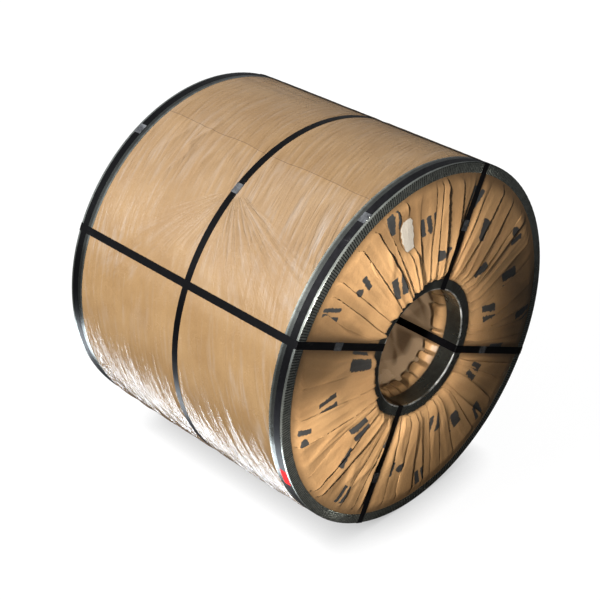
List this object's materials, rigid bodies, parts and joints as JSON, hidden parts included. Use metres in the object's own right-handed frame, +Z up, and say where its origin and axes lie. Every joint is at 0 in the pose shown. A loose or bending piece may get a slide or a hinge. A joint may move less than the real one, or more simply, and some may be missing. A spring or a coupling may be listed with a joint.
{
  "type": "packed steel coil",
  "caption": "Steel coil lying on its side in kraft paper and film, with fluted metal edge rings, straps round the barrel and straps through its eye.",
  "frame": {"origin": "on the floor below the middle of the lying coil", "axes": "+X along the coil's eye towards the front end, +Z up"},
  "size_m": [1.2578, 1.5554, 1.5554],
  "materials": {
    "steel": "bright wound strip",
    "barrel_kraft": "matte kraft",
    "film": "clear wrinkled stretch film",
    "cover_kraft": "matte pleated kraft",
    "ring_metal": "dark with worn bright edges",
    "strap": "semi-gloss black",
    "seal": "galvanised",
    "tag": "red tape",
    "label": "white paper"
  },
  "bodies": {
    "root": {"steel_coil": "steel", "barrel_paper": "barrel_kraft", "stretch_film": "film", "bore_liner": "cover_kraft", "front_end_cover": "cover_kraft", "rear_end_cover": "cover_kraft", "front_outer_ring": "ring_metal", "rear_outer_ring": "ring_metal", "front_inner_ring": "ring_metal", "rear_inner_ring": "ring_metal", "front_strap": "strap", "middle_strap": "strap", "rear_strap": "strap", "front_strap_seal": "seal", "middle_strap_seal": "seal", "rear_strap_seal": "seal", "eye_strap_1": "strap", "eye_strap_2": "strap", "eye_strap_3": "strap", "eye_strap_4": "strap", "eye_strap_seal_1": "seal", "eye_strap_seal_2": "seal", "eye_strap_seal_3": "seal", "eye_strap_seal_4": "seal", "red_tag": "tag", "blank_label": "label"}
  },
  "joints": []
}
